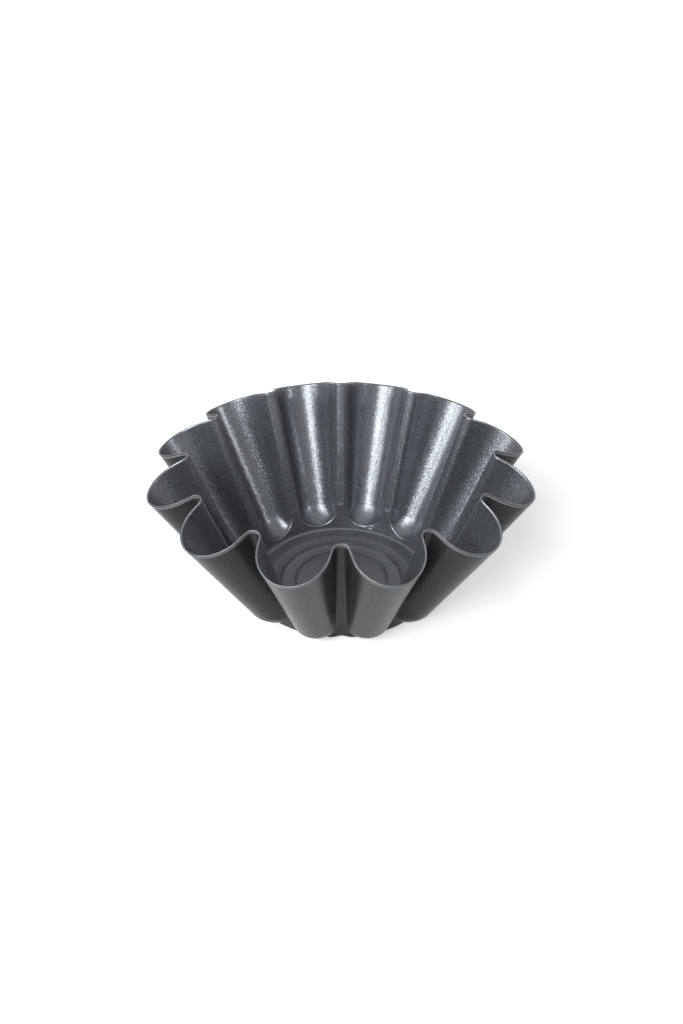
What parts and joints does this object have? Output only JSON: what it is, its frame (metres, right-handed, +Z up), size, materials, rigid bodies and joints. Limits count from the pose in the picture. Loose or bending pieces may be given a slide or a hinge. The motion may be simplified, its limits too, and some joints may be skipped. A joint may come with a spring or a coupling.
{
  "type": "brioche mould",
  "caption": "Round fluted baking mould of pressed sheet steel: flaring rounded flutes, scalloped rim, round flute ends, and a base with a narrow ledge and two pressed channels.",
  "frame": {"origin": "centre of the face that the mould stands on", "axes": "+Z up along the axis of symmetry; a crest between two flutes points along -Y"},
  "size_m": [0.2126, 0.2126, 0.0899],
  "materials": {
    "bare_steel": "cut edge of the sheet, fine shear marks",
    "outer_coat": "satin metallic grey coat",
    "nonstick": "semi-gloss blue-grey non-stick with fine metallic speckle"
  },
  "bodies": {
    "root": {"steel_shell": "bare_steel", "outer_coat": "outer_coat", "nonstick_lining": "nonstick"}
  },
  "joints": []
}
